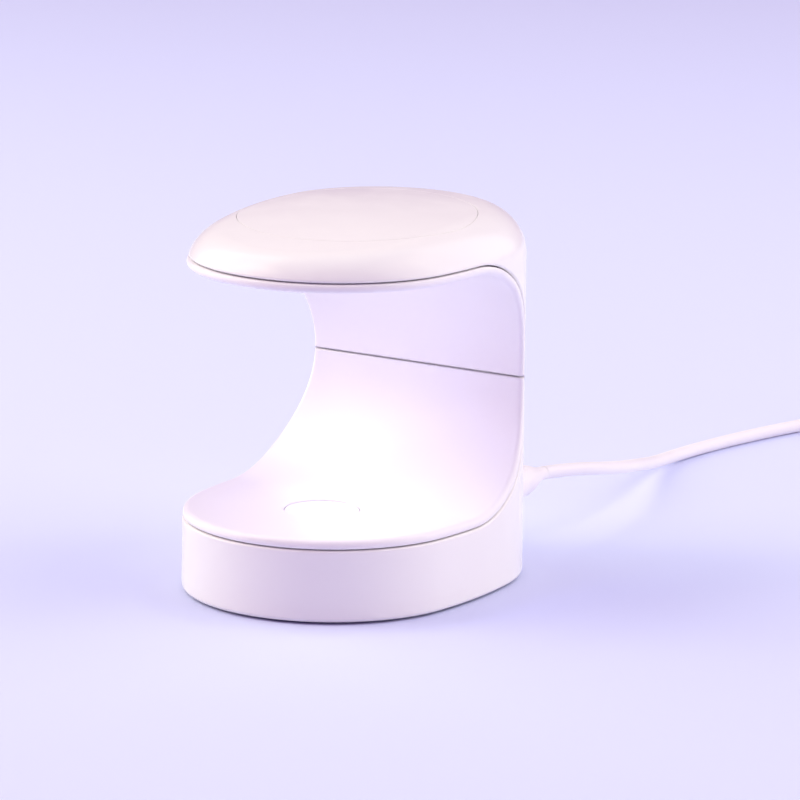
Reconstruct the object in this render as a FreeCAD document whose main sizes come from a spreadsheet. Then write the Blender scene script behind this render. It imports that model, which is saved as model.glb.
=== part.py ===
import FreeCAD, Part

import math
import os
import re

import Sketcher

# Small C-shaped nail lamp with a press button in its base and a lead with a USB plug.
#
# Millimetres. +Z is up and the mouth of the C faces -Y. The origin is on the floor under the lamp's middle.
# The sizes that drive the model are in SIZES. Every other size is an expression on them.

FOLDER = "parts"
UP = FreeCAD.Vector(0, 0, 1)
BACKWARD = FreeCAD.Vector(0, 1, 0)
SIDEWAYS = FreeCAD.Vector(1, 0, 0)
REACH = "50"  # far enough sideways to pass every side of the lamp

# Name, millimetres (degrees for the two angles), meaning.
SIZES = (
    ("foot_height", 0.5, "gap under the shell"),
    ("half_width", 32.1, "half of the oval plan's width"),
    ("half_length", 40.95, "half of the oval plan's length"),
    ("end_radius", 31.5, "radius of the oval's front and back ends"),
    ("draft", 0.25, "angle that the sides lean in"),
    ("wall", 2.0, "shell wall"),
    ("crown_height", 81.4, "top of the head over the origin"),
    ("crown_radius", 212.0, "radius of the domed top"),
    ("crown_tilt", 2.6, "angle that the top leans to the front"),
    ("shoulder_radius", 10.0, "rounding between the top and the sides"),
    ("bay_radius", 26.0, "radius of the finger bay's round back, half the bay's height"),
    ("bay_back", -1.5, "where the bay's round back begins, lengthways"),
    ("bay_middle", 44.1, "height of the bay's middle"),
    ("rim", 2.2, "depth of liner edge that shows inside the seam"),
    ("seam_gap", 0.3, "gap along the seam between shell and liners"),
    ("flush_inset", 0.1, "how far the liners sit inside the outline"),
    ("lip_bevel", 0.9, "bevel of the liners' edges"),
    ("split_height", 43.5, "height of the joint between the liners"),
    ("split_gap", 0.25, "gap between the liners"),
    ("rib_height", 1.6, "height of the liners' locating ribs"),
    ("rib_thick", 1.2, "thickness of the locating ribs"),
    ("rib_across", 27.2, "outer side of the locating ribs"),
    ("rib_front", -14.0, "front end of the locating ribs"),
    ("rib_length", 32.0, "length of the locating ribs"),
    ("ceiling", 5.0, "depth of the shell's flat ceiling under the top"),
    ("ceiling_bevel", 3.5, "bevel round that ceiling"),
    ("cap_radius", 25.5, "radius of the round cap on the head"),
    ("cap_depth", 3.05, "depth of the cap's seat under the top"),
    ("cap_play", 0.15, "gap round and under the cap"),
    ("peg_radius", 1.2, "radius of the cap's pegs"),
    ("peg_length", 3.0, "length of the cap's pegs"),
    ("cover_thick", 1.8, "thickness of the bottom cover"),
    ("cover_sink", 0.1, "how far the cover sits inside the shell's edge"),
    ("ledge_width", 1.4, "width of the ledge over the cover"),
    ("ledge_thick", 1.2, "thickness of that ledge"),
    ("foot_radius", 4.0, "radius of a rubber foot"),
    ("foot_across", 12.0, "foot's distance from the middle, sideways"),
    ("foot_along", 29.5, "foot's distance from the middle, lengthways"),
    ("fit_play", 0.05, "gap between two pieces that fit each other"),
    ("screw_radius", 1.0, "radius of the case screws"),
    ("screw_head_radius", 1.8, "radius of their heads"),
    ("screw_head_height", 1.2, "height of their heads"),
    ("boss_radius", 2.6, "radius of the screw bosses"),
    ("base_screw_across", 21.0, "base screw's distance from the middle, sideways"),
    ("base_screw_along", 18.0, "base screw's distance from the middle, lengthways"),
    ("base_screw_length", 7.0, "shank length of a base screw"),
    ("head_screw_length", 5.2, "shank length of a head screw"),
    ("head_boss_bottom", 74.6, "lower end of the shell's head bosses"),
    ("head_boss_top", 77.2, "height inside the shell's top that those bosses reach"),
    ("button_radius", 8.0, "radius of the button in the base"),
    ("button_along", -12.5, "middle of the button, lengthways"),
    ("button_play", 0.15, "gap round the button"),
    ("button_flange", 9.3, "radius of the flange that keeps the button in"),
    ("button_flange_thick", 1.2, "thickness of that flange"),
    ("button_post", 2.2, "radius of the post that meets the switch"),
    ("button_bevel", 0.25, "bevel of the button's edge"),
    ("board_top", 9.2, "top of the control board"),
    ("board_thick", 1.2, "thickness of the control board"),
    ("board_width", 33.0, "width of the control board"),
    ("board_length", 32.0, "length of the control board"),
    ("board_along", -11.0, "middle of the control board, lengthways"),
    ("board_post_across", 13.5, "board post's distance from the middle, sideways"),
    ("board_post_along", 12.5, "board post's distance from the board's middle, lengthways"),
    ("post_radius", 1.8, "radius of the posts that hold the boards"),
    ("switch_width", 6.0, "width of the key switch"),
    ("switch_height", 3.5, "height of the key switch's case"),
    ("switch_well", 2.5, "depth of the well that the stem slides in"),
    ("stem_radius", 1.7, "radius of the switch's stem"),
    ("stem_length", 2.7, "length of the stem"),
    ("stem_height", 0.8, "how far the stem stands out of the case"),
    ("lamp_board_along", -8.0, "middle of the lamp board, lengthways"),
    ("lamp_board_width", 30.0, "width of the lamp board"),
    ("lamp_board_length", 20.0, "length of the lamp board"),
    ("lamp_board_thick", 1.0, "thickness of the lamp board"),
    ("lamp_board_gap", 1.8, "height of the lamp board over the liner"),
    ("lamp_post_across", 13.0, "lamp board post's distance from the middle"),
    ("emitter_width", 3.0, "width of a light emitter"),
    ("emitter_height", 0.9, "height of a light emitter"),
    ("window_width", 20.0, "width of the light window"),
    ("window_length", 12.0, "length of the light window"),
    ("window_flange", 1.0, "width of the flange that holds the window up"),
    ("window_flange_thick", 0.6, "thickness of that flange"),
    ("cable_thick", 1.2, "thickness of the flat cables inside"),
    ("cable_width", 2.6, "width of the flat cables inside"),
    ("cord_radius", 1.5, "radius of the lead"),
    ("cord_across", 18.0, "where the lead leaves the back, sideways"),
    ("cord_height", 16.6, "height of the lead where it leaves the back"),
    ("boot_hole", 2.7, "radius of the hole for the lead's boot"),
    ("boot_start", 28.5, "inner end of the boot, lengthways"),
    ("boot_flare", 4.3, "radius of the boot where it meets the shell"),
    ("boot_collar", 3.9, "radius of the collar that holds the boot inside the shell"),
    ("boot_end", 49.0, "outer end of the boot, lengthways"),
    ("coil_across", 38.5, "middle of the coiled lead, sideways"),
    ("coil_along", 206.0, "middle of the coiled lead, lengthways"),
    ("coil_radius", 16.7, "radius of the coil at the middle of its turns"),
    ("coil_half", 6.8, "half of the coil's width"),
    ("coil_height", 6.1, "height of the coil"),
    ("coil_tail", 17.0, "length of the lead's end that leaves the coil"),
    ("plug_width", 15.6, "width of the plug's grip"),
    ("plug_height", 8.0, "height of the plug's grip"),
    ("plug_length", 26.0, "length of the plug's grip"),
    ("plug_neck", 9.0, "length of the neck behind the grip"),
    ("usb_width", 12.0, "width of the plug's metal shell"),
    ("usb_height", 4.5, "height of the plug's metal shell"),
    ("usb_length", 12.5, "length of the plug's metal shell"),
    ("usb_root", 2.0, "length of the metal shell inside the grip"),
    ("usb_metal", 0.3, "thickness of that metal"),
    ("tongue_thick", 1.8, "thickness of the plug's tongue"),
)

# Screws of the head: sideways, lengthways, height that the head sits at. They hide under the cap.
HEAD_SCREWS = ((-18, -12, 76.4), (18, -12, 76.4), (-18, 10, 77.4), (18, 10, 77.4))
# Pegs of the cap: sideways, lengthways, height of the lower end.
CAP_PEGS = ((-9, 18, 76.9), (9, 18, 76.9), (0, -20, 75.2))
# Small parts on the control board: sideways, lengthways, then width, length and height.
BOARD_PARTS = (
    (-8.0, 0.5, 6.0, 4.5, 1.5),
    (9.5, -3.0, 4.0, 4.0, 2.2),
    (-13.0, -8.0, 2.0, 1.2, 0.6),
    (-13.0, -11.0, 2.0, 1.2, 0.6),
    (13.0, -9.0, 1.2, 2.0, 0.6),
    (0.0, 1.0, 7.0, 3.0, 1.2),
)
# The lead's route on the floor side, from the boot to the coil.
CORD_ROUTE = (
    (18.0, 49.0, 16.6),
    (18.0, 60.0, 16.6),
    (17.5, 82.0, 11.3),
    (11.0, 104.0, 4.2),
    (3.5, 124.0, 1.5),
    (1.5, 142.0, 1.5),
    (4.5, 162.0, 1.5),
    (9.5, 182.0, 1.5),
    (14.5, 195.0, 1.5),
    (16.5, 205.0, 1.5),
)

doc = FreeCAD.newDocument("nail_lamp")
sheet = doc.addObject("Spreadsheet::Sheet", "sizes")
for row, (name, number, meaning) in enumerate(SIZES, start=1):
    sheet.set("A%d" % row, str(number))
    sheet.set("B%d" % row, meaning)
    sheet.setAlias("A%d" % row, name)
doc.recompute()
SIZE_NAMES = {name for name, _, _ in SIZES}
nodes = []


# ---- Sizes and expressions ----


def formula(text):
    """The text as an expression of the document: each size's name gets the sheet's name in front."""

    def named(word):
        return ("sizes." if word[0] in SIZE_NAMES else "") + word[0]

    return re.sub(r"[a-z][a-z_0-9]*", named, text)


def value(text):
    return float(sheet.evalExpression(text))


def bind(thing, prop, text):
    thing.setExpression(prop, formula(text))


def keep(thing, name):
    """Hand the object over as one piece of the lamp."""
    thing.Label = name
    nodes.append(thing)
    return thing


# ---- Sketches ----


def new_body(name):
    return doc.addObject("PartDesign::Body", name + "_body")


def sketch_on(body, name, role="XY_Plane", lift="0"):
    """A sketch on one of the body's own planes. XY faces +Z, YZ faces +X (across is Y), XZ faces -Y."""
    sketch = body.newObject("Sketcher::SketchObject", name)
    plane = next(item for item in body.Origin.OriginFeatures if item.Role == role)
    sketch.AttachmentSupport = [(plane, "")]
    sketch.MapMode = "FlatFace"
    bind(sketch, "AttachmentOffset.Base.z", lift)
    return sketch


def pin(sketch, spot, across, up):
    """Hold one point of a sketch at a place given by two expressions."""
    for kind, axis, text in (("DistanceX", -2, across), ("DistanceY", -1, up)):
        if text == "0":
            sketch.addConstraint(Sketcher.Constraint("PointOnObject", *spot, axis))
        else:
            number = sketch.addConstraint(Sketcher.Constraint(kind, -1, 1, *spot, value(text)))
            bind(sketch, "Constraints[%d]" % number, text)


def add_arc(sketch, start, end, radius, turn):
    """The short arc from start to end. turn is 1 for counterclockwise and -1 for clockwise."""
    first, last = (start, end) if turn > 0 else (end, start)
    half = (last - first) * 0.5
    rise = math.sqrt(max(value(radius) ** 2 - half.Length**2, 0))
    centre = first + half + UP.cross(half).normalize() * rise
    angles = [math.atan2(point.y - centre.y, point.x - centre.x) for point in (first, last)]
    edge = sketch.addGeometry(Part.ArcOfCircle(Part.Circle(centre, UP, value(radius)), *angles), False)
    number = sketch.addConstraint(Sketcher.Constraint("Radius", edge, value(radius)))
    bind(sketch, "Constraints[%d]" % number, radius)
    return ((edge, 1), (edge, 2)) if turn > 0 else ((edge, 2), (edge, 1))


def outline(sketch, corners):
    """A closed outline. A corner is (across, up), or (across, up, radius, turn) when an arc leaves it."""
    points = [FreeCAD.Vector(value(corner[0]), value(corner[1]), 0) for corner in corners]
    ends = []
    for corner, start, end in zip(corners, points, points[1:] + points[:1]):
        if len(corner) == 4:
            ends.append(add_arc(sketch, start, end, corner[2], corner[3]))
        else:
            edge = sketch.addGeometry(Part.LineSegment(start, end), False)
            ends.append(((edge, 1), (edge, 2)))
    for number, corner in enumerate(corners):
        sketch.addConstraint(Sketcher.Constraint("Coincident", *ends[number - 1][1], *ends[number][0]))
        pin(sketch, ends[number][0], corner[0], corner[1])


def circle(sketch, across, up, radius):
    centre = FreeCAD.Vector(value(across), value(up), 0)
    edge = sketch.addGeometry(Part.Circle(centre, UP, value(radius)), False)
    number = sketch.addConstraint(Sketcher.Constraint("Radius", edge, value(radius)))
    bind(sketch, "Constraints[%d]" % number, radius)
    pin(sketch, (edge, 3), across, up)


def rectangle(sketch, width, length, along="0"):
    """A rectangle, centred sideways on the sketch's axis."""
    side = "(%s)/2" % width
    low = "%s-(%s)/2" % (along, length)
    high = "%s+(%s)/2" % (along, length)
    outline(sketch, (("-%s" % side, low), (side, low), (side, high), ("-%s" % side, high)))


def oval(sketch, inset):
    """The lamp's plan, four arcs that run into each other, moved in by inset."""
    end_middle = "(half_length-end_radius)"
    side_radius = "((%s^2+half_width^2-end_radius^2)/(2*(half_width-end_radius)))" % end_middle
    side_middle = "(%s-half_width)" % side_radius
    share = "(%s-(%s))/(%s-end_radius)" % (side_radius, inset, side_radius)
    across = "(%s*%s-%s)" % (share, side_middle, side_middle)
    along = "(%s*%s)" % (share, end_middle)
    side = "%s-(%s)" % (side_radius, inset)
    end = "end_radius-(%s)" % inset
    outline(
        sketch,
        (
            (across, "-" + along, side, 1),
            (across, along, end, 1),
            ("-" + across, along, side, 1),
            ("-" + across, "-" + along, end, 1),
        ),
    )


# ---- Features ----


def finish(feature, grows):
    """Recompute the feature and make sure that it added or removed material."""
    before = feature.BaseFeature.Shape.Volume if feature.BaseFeature else 0
    doc.recompute()
    change = feature.Shape.Volume - before
    if (change > 0) != grows:
        raise ValueError("%s changed the volume by %.2f" % (feature.Name, change))
    return feature


def pad(sketch, length, both_ways=False, lean="0"):
    feature = sketch.getParentGeoFeatureGroup().newObject("PartDesign::Pad", sketch.Name + "_pad")
    feature.Profile = sketch
    feature.SideType = "Symmetric" if both_ways else "One side"
    bind(feature, "Length", length)
    if lean != "0":
        bind(feature, "TaperAngle", "-" + lean)
    return finish(feature, True)


def pocket(sketch, length, both_ways=False):
    feature = sketch.getParentGeoFeatureGroup().newObject("PartDesign::Pocket", sketch.Name + "_pocket")
    feature.Profile = sketch
    feature.SideType = "Symmetric" if both_ways else "One side"
    bind(feature, "Length", length)
    return finish(feature, False)


def spin(sketch, axis="V_Axis", angle=360, cuts=False):
    """Turn the sketch about one of its own axes, evenly to both sides."""
    kind = "PartDesign::Groove" if cuts else "PartDesign::Revolution"
    feature = sketch.getParentGeoFeatureGroup().newObject(kind, sketch.Name + "_spin")
    feature.Profile = sketch
    feature.ReferenceAxis = (sketch, [axis])
    feature.Midplane = True
    feature.Angle = angle
    return finish(feature, not cuts)


def soften(feature, size, wanted, kind="Fillet"):
    """Round, or with kind Chamfer bevel, the edges of a body's feature that wanted picks."""
    picked = ["Edge%d" % number for number, edge in enumerate(feature.Shape.Edges, start=1) if wanted(edge)]
    body = feature.getParentGeoFeatureGroup()
    softened = body.newObject("PartDesign::" + kind, feature.Name + "_" + kind.lower())
    softened.Base = (feature, picked)
    bind(softened, "Radius" if kind == "Fillet" else "Size", size)
    doc.recompute()
    return softened


def cylinder(name, radius, height, across, along, low, lying=False):
    """A cylinder that stands on low, or, lying, starts at along and runs backward at height low."""
    piece = doc.addObject("Part::Cylinder", name)
    bind(piece, "Radius", radius)
    bind(piece, "Height", height)
    if lying:
        piece.Placement = FreeCAD.Placement(FreeCAD.Vector(), FreeCAD.Rotation(UP, BACKWARD))
    for axis, text in zip("xyz", (across, along, low)):
        bind(piece, "Placement.Base." + axis, text)
    return piece


def box(name, width, length, height, across, along, low):
    """A box with its middle at across and along, standing on low."""
    piece = doc.addObject("Part::Box", name)
    bind(piece, "Length", width)
    bind(piece, "Width", length)
    bind(piece, "Height", height)
    bind(piece, "Placement.Base.x", "%s-(%s)/2" % (across, width))
    bind(piece, "Placement.Base.y", "%s-(%s)/2" % (along, length))
    bind(piece, "Placement.Base.z", low)
    return piece


def join(name, pieces):
    result = doc.addObject("Part::MultiFuse", name)
    result.Shapes = pieces
    doc.recompute()
    return result


def cut(name, base, tool):
    result = doc.addObject("Part::Cut", name)
    result.Base = base
    result.Tool = tool
    doc.recompute()
    if result.Shape.Volume >= base.Shape.Volume:
        raise ValueError("%s cut nothing away" % name)
    return result


def overlap(name, first, second):
    result = doc.addObject("Part::Common", name)
    result.Base = first
    result.Tool = second
    doc.recompute()
    return result


# ---- Forms that several pieces share ----


def lamp_form(name, inset, low):
    """The lamp's outer form without the bay, moved in by inset: an oval with leaning sides and a domed top."""
    body = new_body(name)
    plan = sketch_on(body, name + "_plan", lift=low)
    oval(plan, inset)
    pad(plan, "crown_height+6", lean="draft")
    # The dome's middle is under the floor and behind the lamp's middle, so that the top leans to the front.
    top = sketch_on(body, name + "_top", "XZ_Plane", "-crown_radius*sin(crown_tilt)")
    bind(top, "AttachmentOffset.Base.y", "crown_height-crown_radius*cos(crown_tilt)")
    radius = "crown_radius-(%s)" % inset
    side = "sqrt((%s)^2-%s^2)" % (radius, REACH)
    high = "crown_radius+30"
    outline(top, (("-" + REACH, side, radius, -1), (REACH, side), (REACH, high), ("-" + REACH, high)))
    domed = spin(top, "H_Axis", 60, cuts=True)

    def shoulder(edge):
        far = min(math.hypot(point.X, point.Y) for point in edge.Vertexes) > value("half_width") / 2
        return far and edge.BoundBox.ZMin > value("crown_height") - 15

    soften(domed, "shoulder_radius-(%s)" % inset, shoulder)
    return body


def bay_form(name, grow):
    """The finger bay, open to the front and both sides, with every wall moved out by grow."""
    body = new_body(name)
    side = sketch_on(body, name + "_side", "YZ_Plane")
    radius = "bay_radius+%s" % grow
    low = "bay_middle-(%s)" % radius
    high = "bay_middle+(%s)" % radius
    outline(
        side,
        (
            ("-2*half_length", low),
            ("bay_back", low, radius, 1),
            ("bay_back+%s" % radius, "bay_middle", radius, 1),
            ("bay_back", high),
            ("-2*half_length", high),
        ),
    )
    pad(side, "2*" + REACH, both_ways=True)
    return body


def band_form(name, inner, outer, upper):
    """Half of the C-shaped band along the bay, from inner to outer distance off the bay's own wall."""
    body = new_body(name)
    side = sketch_on(body, name + "_side", "YZ_Plane")
    sign = "+" if upper else "-"
    edge = "split_height%ssplit_gap/2" % sign
    near = "bay_radius+%s" % inner
    far = "bay_radius+%s" % outer
    front = "-2*half_length"
    outline(
        side,
        (
            (front, "bay_middle%s(%s)" % (sign, far)),
            ("bay_back", "bay_middle%s(%s)" % (sign, far), far, -1 if upper else 1),
            ("bay_back+sqrt((%s)^2-(bay_middle-(%s))^2)" % (far, edge), edge),
            ("bay_back+sqrt((%s)^2-(bay_middle-(%s))^2)" % (near, edge), edge, near, 1 if upper else -1),
            ("bay_back", "bay_middle%s(%s)" % (sign, near)),
            (front, "bay_middle%s(%s)" % (sign, near)),
        ),
    )
    pad(side, "2*" + REACH, both_ways=True)
    return body


def cavity_form(name, inset):
    """The hollow of the shell: the oval, with a flat ceiling that leans as the top does."""
    body = new_body(name)
    plan = sketch_on(body, name + "_plan")
    oval(plan, inset)
    pad(plan, "crown_height", lean="draft")
    ceiling = sketch_on(body, name + "_ceiling", "YZ_Plane")
    rise = "(half_length*tan(crown_tilt))"
    level = "(crown_height-ceiling)"
    outline(
        ceiling,
        (
            ("-half_length", "%s-%s" % (level, rise)),
            ("half_length", "%s+%s" % (level, rise)),
            ("half_length", "crown_height+5"),
            ("-half_length", "crown_height+5"),
        ),
    )
    flat = pocket(ceiling, "2*half_width", both_ways=True)

    def under_ceiling(edge):
        return edge.BoundBox.ZMin > value("crown_height-ceiling-2*" + rise)

    soften(flat, "ceiling_bevel", under_ceiling, "Chamfer")
    return body


def crown_cylinder(name, radius, depth):
    """A cylinder that stands square on the lamp's top, from depth under it to well over it."""
    piece = doc.addObject("Part::Cylinder", name)
    piece.Placement.Rotation = FreeCAD.Rotation(SIDEWAYS, 1)
    bind(piece, "Placement.Rotation.Angle", "crown_tilt")
    bind(piece, "Placement.Base.y", "(%s)*sin(crown_tilt)" % depth)
    bind(piece, "Placement.Base.z", "crown_height-(%s)*cos(crown_tilt)" % depth)
    bind(piece, "Radius", radius)
    bind(piece, "Height", "10")
    doc.recompute()
    return piece


def screw(name, head_radius, head_height, radius, length, across, along, seat, driven_up):
    """A screw whose head sits at the height seat. One that is driven up shows the cross in its head."""
    head_low = "%s-%s" % (seat, head_height) if driven_up else seat
    shank_low = seat if driven_up else "%s-%s" % (seat, length)
    slot_depth = "%s/2" % head_height
    slot_low = head_low if driven_up else "%s+%s/2" % (seat, head_height)
    slot_long = "%s*1.3" % head_radius
    slot_wide = "%s*0.3" % head_radius
    whole = join(
        name + "_whole",
        [
            cylinder(name + "_head", head_radius, head_height, across, along, head_low),
            cylinder(name + "_shank", radius, length, across, along, shank_low),
        ],
    )
    if not driven_up:
        return whole
    cross = join(
        name + "_cross",
        [
            box(name + "_slot", slot_long, slot_wide, slot_depth, across, along, slot_low),
            box(name + "_slot_across", slot_wide, slot_long, slot_depth, across, along, slot_low),
        ],
    )
    return cut(name, whole, cross)


def corners(across, along, middle="0"):
    """The four places at plus and minus across and along, as expressions."""
    for sign in ("-", ""):
        for sign_along in ("-", "+"):
            yield sign + across, "%s%s%s" % (middle, sign_along, along)


LINER_LOW = "bay_middle-bay_radius-rim+seam_gap"  # underside of the liner that floors the bay
LINER_HIGH = "bay_middle+bay_radius+rim-seam_gap"  # upper side of the liner over the bay
PLUG_MIDDLE = "plug_height/2"
COVER_LOW = "foot_height+cover_sink"
COVER_TOP = "(%s+cover_thick)" % COVER_LOW
LAMP_BOARD_LOW = "(%s+lamp_board_gap)" % LINER_HIGH
STEM_TOP = "(board_top+switch_height+stem_height)"
BUTTON_SHOULDER = "(%s-2*fit_play)" % LINER_LOW  # top of the button's flange

outer_form = lamp_form("outer_form", "0", "foot_height")
inner_form = cavity_form("inner_form", "wall")
liner_form = lamp_form("liner_form", "flush_inset", "0")
liner_middle = bay_form("liner_middle", "rim/2")


# ---- Shell, liners, cap and cover ----


def make_outer_shell():
    walls = cut("shell_walls", outer_form, inner_form)
    open_shell = cut("shell_open", walls, bay_form("shell_bay", "rim"))
    ledge_body = new_body("ledge")
    ledge_plan = sketch_on(ledge_body, "ledge_plan", lift=COVER_TOP + "+fit_play")
    oval(ledge_plan, "wall/2")
    oval(ledge_plan, "wall+ledge_width")
    pad(ledge_plan, "ledge_thick")
    added = [open_shell, ledge_body]
    removed = [crown_cylinder("cap_recess", "cap_radius+cap_play", "cap_depth")]
    for number, (across, along, seat_height) in enumerate(HEAD_SCREWS):
        place = (str(across), str(along))
        height = "head_boss_top-head_boss_bottom"
        added.append(cylinder("head_boss_%d" % number, "boss_radius", height, *place, "head_boss_bottom"))
        bore = "screw_radius+fit_play"
        removed.append(cylinder("head_hole_%d" % number, bore, "10", *place, "head_boss_bottom-2"))
        sink = "screw_head_radius+fit_play"
        removed.append(cylinder("head_sink_%d" % number, sink, "10", *place, str(seat_height)))
    for number, (across, along, low) in enumerate(CAP_PEGS):
        hole = "peg_radius+fit_play"
        removed.append(cylinder("peg_hole_%d" % number, hole, "10", str(across), str(along), str(low - 1)))
    removed.append(
        cylinder("boot_hole_bore", "boot_hole", "20", "cord_across", "boot_start", "cord_height", lying=True)
    )
    whole = join("shell_added", added)
    return keep(cut("outer_shell", whole, join("shell_removed", removed)), "outer_shell")


def on_bay_wall(point):
    """Whether a point lies on the wall of the bay."""
    back = point.y - value("bay_back")
    height = abs(point.z - value("bay_middle"))
    off = height if back < 0 else math.hypot(back, height)
    return abs(off - value("bay_radius")) < 0.02


def make_liner(name, upper, posts, holes):
    """One liner: a band along the bay with rounded edges, a locating rib, posts and holes."""
    band = overlap(name + "_band", band_form(name + "_strip", "0", "rim-seam_gap", upper), liner_form)
    bevelled = doc.addObject("Part::Chamfer", name + "_bevelled")
    bevelled.Base = band
    size = value("lip_bevel")
    lip = []
    for number, edge in enumerate(band.Shape.Edges, start=1):
        middle = edge.valueAt((edge.FirstParameter + edge.LastParameter) / 2)
        if on_bay_wall(middle) and not isinstance(edge.Curve, Part.Line):
            lip.append((number, size, size))
    bevelled.Edges = lip
    doc.recompute()
    rib_band = band_form(name + "_rib_strip", "rim-seam_gap-0.3", "rim-seam_gap+rib_height", upper)
    ribs = []
    for side, word in (("-", "left"), ("", "right")):
        middle = "%s(rib_across-rib_thick/2)" % side
        size = ("rib_thick", "rib_length", "crown_height")
        ribs.append(box(name + "_rib_" + word, *size, middle, "rib_front+rib_length/2", "0"))
    rib = overlap(name + "_ribs", join(name + "_rib_slabs", ribs), rib_band)
    free_posts = cut(name + "_posts", join(name + "_post_blanks", posts), liner_middle)
    whole = join(name + "_whole", [bevelled, rib, free_posts])
    return keep(cut(name, whole, join(name + "_holes", holes)), name)


def make_lower_liner():
    posts = []
    holes = [
        cylinder("button_hole", "button_radius+button_play", "10", "0", "button_along", LINER_LOW + "-2")
    ]
    post_low = COVER_TOP + "+fit_play"
    for number, place in enumerate(corners("base_screw_across", "base_screw_along")):
        posts.append(cylinder("base_boss_%d" % number, "boss_radius", "35", *place, post_low))
        depth = "base_screw_length+0.5"
        bore = "screw_radius+fit_play"
        holes.append(cylinder("base_bore_%d" % number, bore, depth, *place, post_low + "-1"))
    for number, place in enumerate(corners("board_post_across", "board_post_along", "board_along")):
        posts.append(cylinder("board_post_%d" % number, "post_radius", "10", *place, "board_top+fit_play"))
    return make_liner("lower_liner", False, posts, holes)


def make_upper_liner():
    posts = []
    window = box(
        "window_hole",
        "window_width+2*fit_play",
        "window_length+2*fit_play",
        "10",
        "0",
        "lamp_board_along",
        LINER_HIGH + "-5",
    )
    holes = [window]
    boss_top = "head_boss_bottom-0.3"
    for number, (across, along, seat_height) in enumerate(HEAD_SCREWS):
        place = (str(across), str(along))
        posts.append(cylinder("roof_boss_%d" % number, "boss_radius", "14", *place, boss_top + "-14"))
        tip = "%s-head_screw_length-0.2" % seat_height
        bore = "screw_radius+fit_play"
        holes.append(cylinder("roof_bore_%d" % number, bore, "6", *place, tip))
    for side in ("-", ""):
        place = (side + "lamp_post_across", "lamp_board_along")
        name = "lamp_post" + ("_left" if side else "_right")
        posts.append(cylinder(name, "post_radius", "6", *place, LAMP_BOARD_LOW + "-fit_play-6"))
    return make_liner("upper_liner", True, posts, holes)


def make_top_cap():
    plate = overlap("cap_plate", crown_cylinder("cap_blank", "cap_radius", "cap_depth-cap_play"), outer_form)
    pegs = [
        cylinder("cap_peg_%d" % number, "peg_radius", "peg_length", str(across), str(along), str(low))
        for number, (across, along, low) in enumerate(CAP_PEGS)
    ]
    return keep(join("top_cap", [plate] + pegs), "top_cap")


def make_bottom_cover():
    body = new_body("cover")
    plan = sketch_on(body, "cover_plan", lift=COVER_LOW)
    oval(plan, "wall+cap_play")
    pad(plan, "cover_thick")
    removed = []
    for number, place in enumerate(corners("base_screw_across", "base_screw_along")):
        removed.append(cylinder("cover_hole_%d" % number, "screw_radius+2*fit_play", "9", *place, "-1"))
        sink = "screw_head_height+fit_play+1"
        head = "screw_head_radius+2*fit_play"
        removed.append(cylinder("cover_sink_%d" % number, head, sink, *place, COVER_LOW + "-1"))
    return keep(cut("bottom_cover", body, join("cover_removed", removed)), "bottom_cover")


def make_rubber_feet():
    feet = [
        cylinder("foot_%d" % number, "foot_radius", COVER_LOW, *place, "0")
        for number, place in enumerate(corners("foot_across", "foot_along"))
    ]
    return keep(join("rubber_feet", feet), "rubber_feet")


# ---- Button and switch ----


def make_power_button():
    body = new_body("button")
    half = sketch_on(body, "button_half", "XZ_Plane", "-button_along")
    face = "bay_middle-bay_radius"
    under = BUTTON_SHOULDER + "-button_flange_thick"
    outline(
        half,
        (
            ("0", STEM_TOP + "+fit_play"),
            ("button_post", STEM_TOP + "+fit_play"),
            ("button_post", under),
            ("button_flange", under),
            ("button_flange", BUTTON_SHOULDER),
            ("button_radius", BUTTON_SHOULDER),
            ("button_radius", face),
            ("0", face),
        ),
    )
    turned = spin(half)
    top = value(face)

    def at_rim(edge):
        return abs(edge.BoundBox.ZMin - top) < 0.01 and edge.Closed

    soften(turned, "button_bevel", at_rim, "Chamfer")
    return keep(body, "power_button")


def make_switch():
    body = new_body("switch")
    plan = sketch_on(body, "switch_plan", lift="board_top")
    rectangle(plan, "switch_width", "switch_width", "button_along")
    case = pad(plan, "switch_height")
    soften(case, "0.4", lambda edge: edge.BoundBox.ZLength > value("switch_height") / 2)
    well = sketch_on(body, "switch_well_plan", lift="board_top+switch_height")
    circle(well, "0", "button_along", "stem_radius+fit_play")
    pocket(well, "switch_well")
    keep(body, "switch_case")
    stem = cylinder("stem", "stem_radius", "stem_length", "0", "button_along", STEM_TOP + "-stem_length")
    keep(stem, "switch_stem")


# ---- Boards ----


def make_control_board():
    body = new_body("control_board")
    plan = sketch_on(body, "control_board_plan", lift="board_top-board_thick")
    rectangle(plan, "board_width", "board_length", "board_along")
    slab = pad(plan, "board_thick")
    soften(slab, "2", lambda edge: edge.BoundBox.ZLength > value("board_thick") / 2)
    return keep(body, "control_board")


def make_board_components():
    parts = []
    for number, (across, along, width, length, height) in enumerate(BOARD_PARTS):
        sizes = (str(width), str(length), str(height))
        parts.append(box("board_part_%d" % number, *sizes, str(across), str(along), "board_top"))
    return keep(join("board_components", parts), "board_components")


def make_lamp_board():
    body = new_body("lamp_board")
    plan = sketch_on(body, "lamp_board_plan", lift=LAMP_BOARD_LOW)
    rectangle(plan, "lamp_board_width", "lamp_board_length", "lamp_board_along")
    slab = pad(plan, "lamp_board_thick")
    soften(slab, "3", lambda edge: edge.BoundBox.ZLength > value("lamp_board_thick") / 2)
    return keep(body, "lamp_board")


def make_light_emitters():
    parts = []
    for across in (-6, 0, 6):
        for along in (-2.5, 2.5):
            name = "emitter_%d" % len(parts)
            width = ("emitter_width", "emitter_width", "emitter_height")
            place = (str(across), "lamp_board_along+(%s)" % along, LAMP_BOARD_LOW + "-emitter_height")
            parts.append(box(name, *width, *place))
    return keep(join("light_emitters", parts), "light_emitters")


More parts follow.
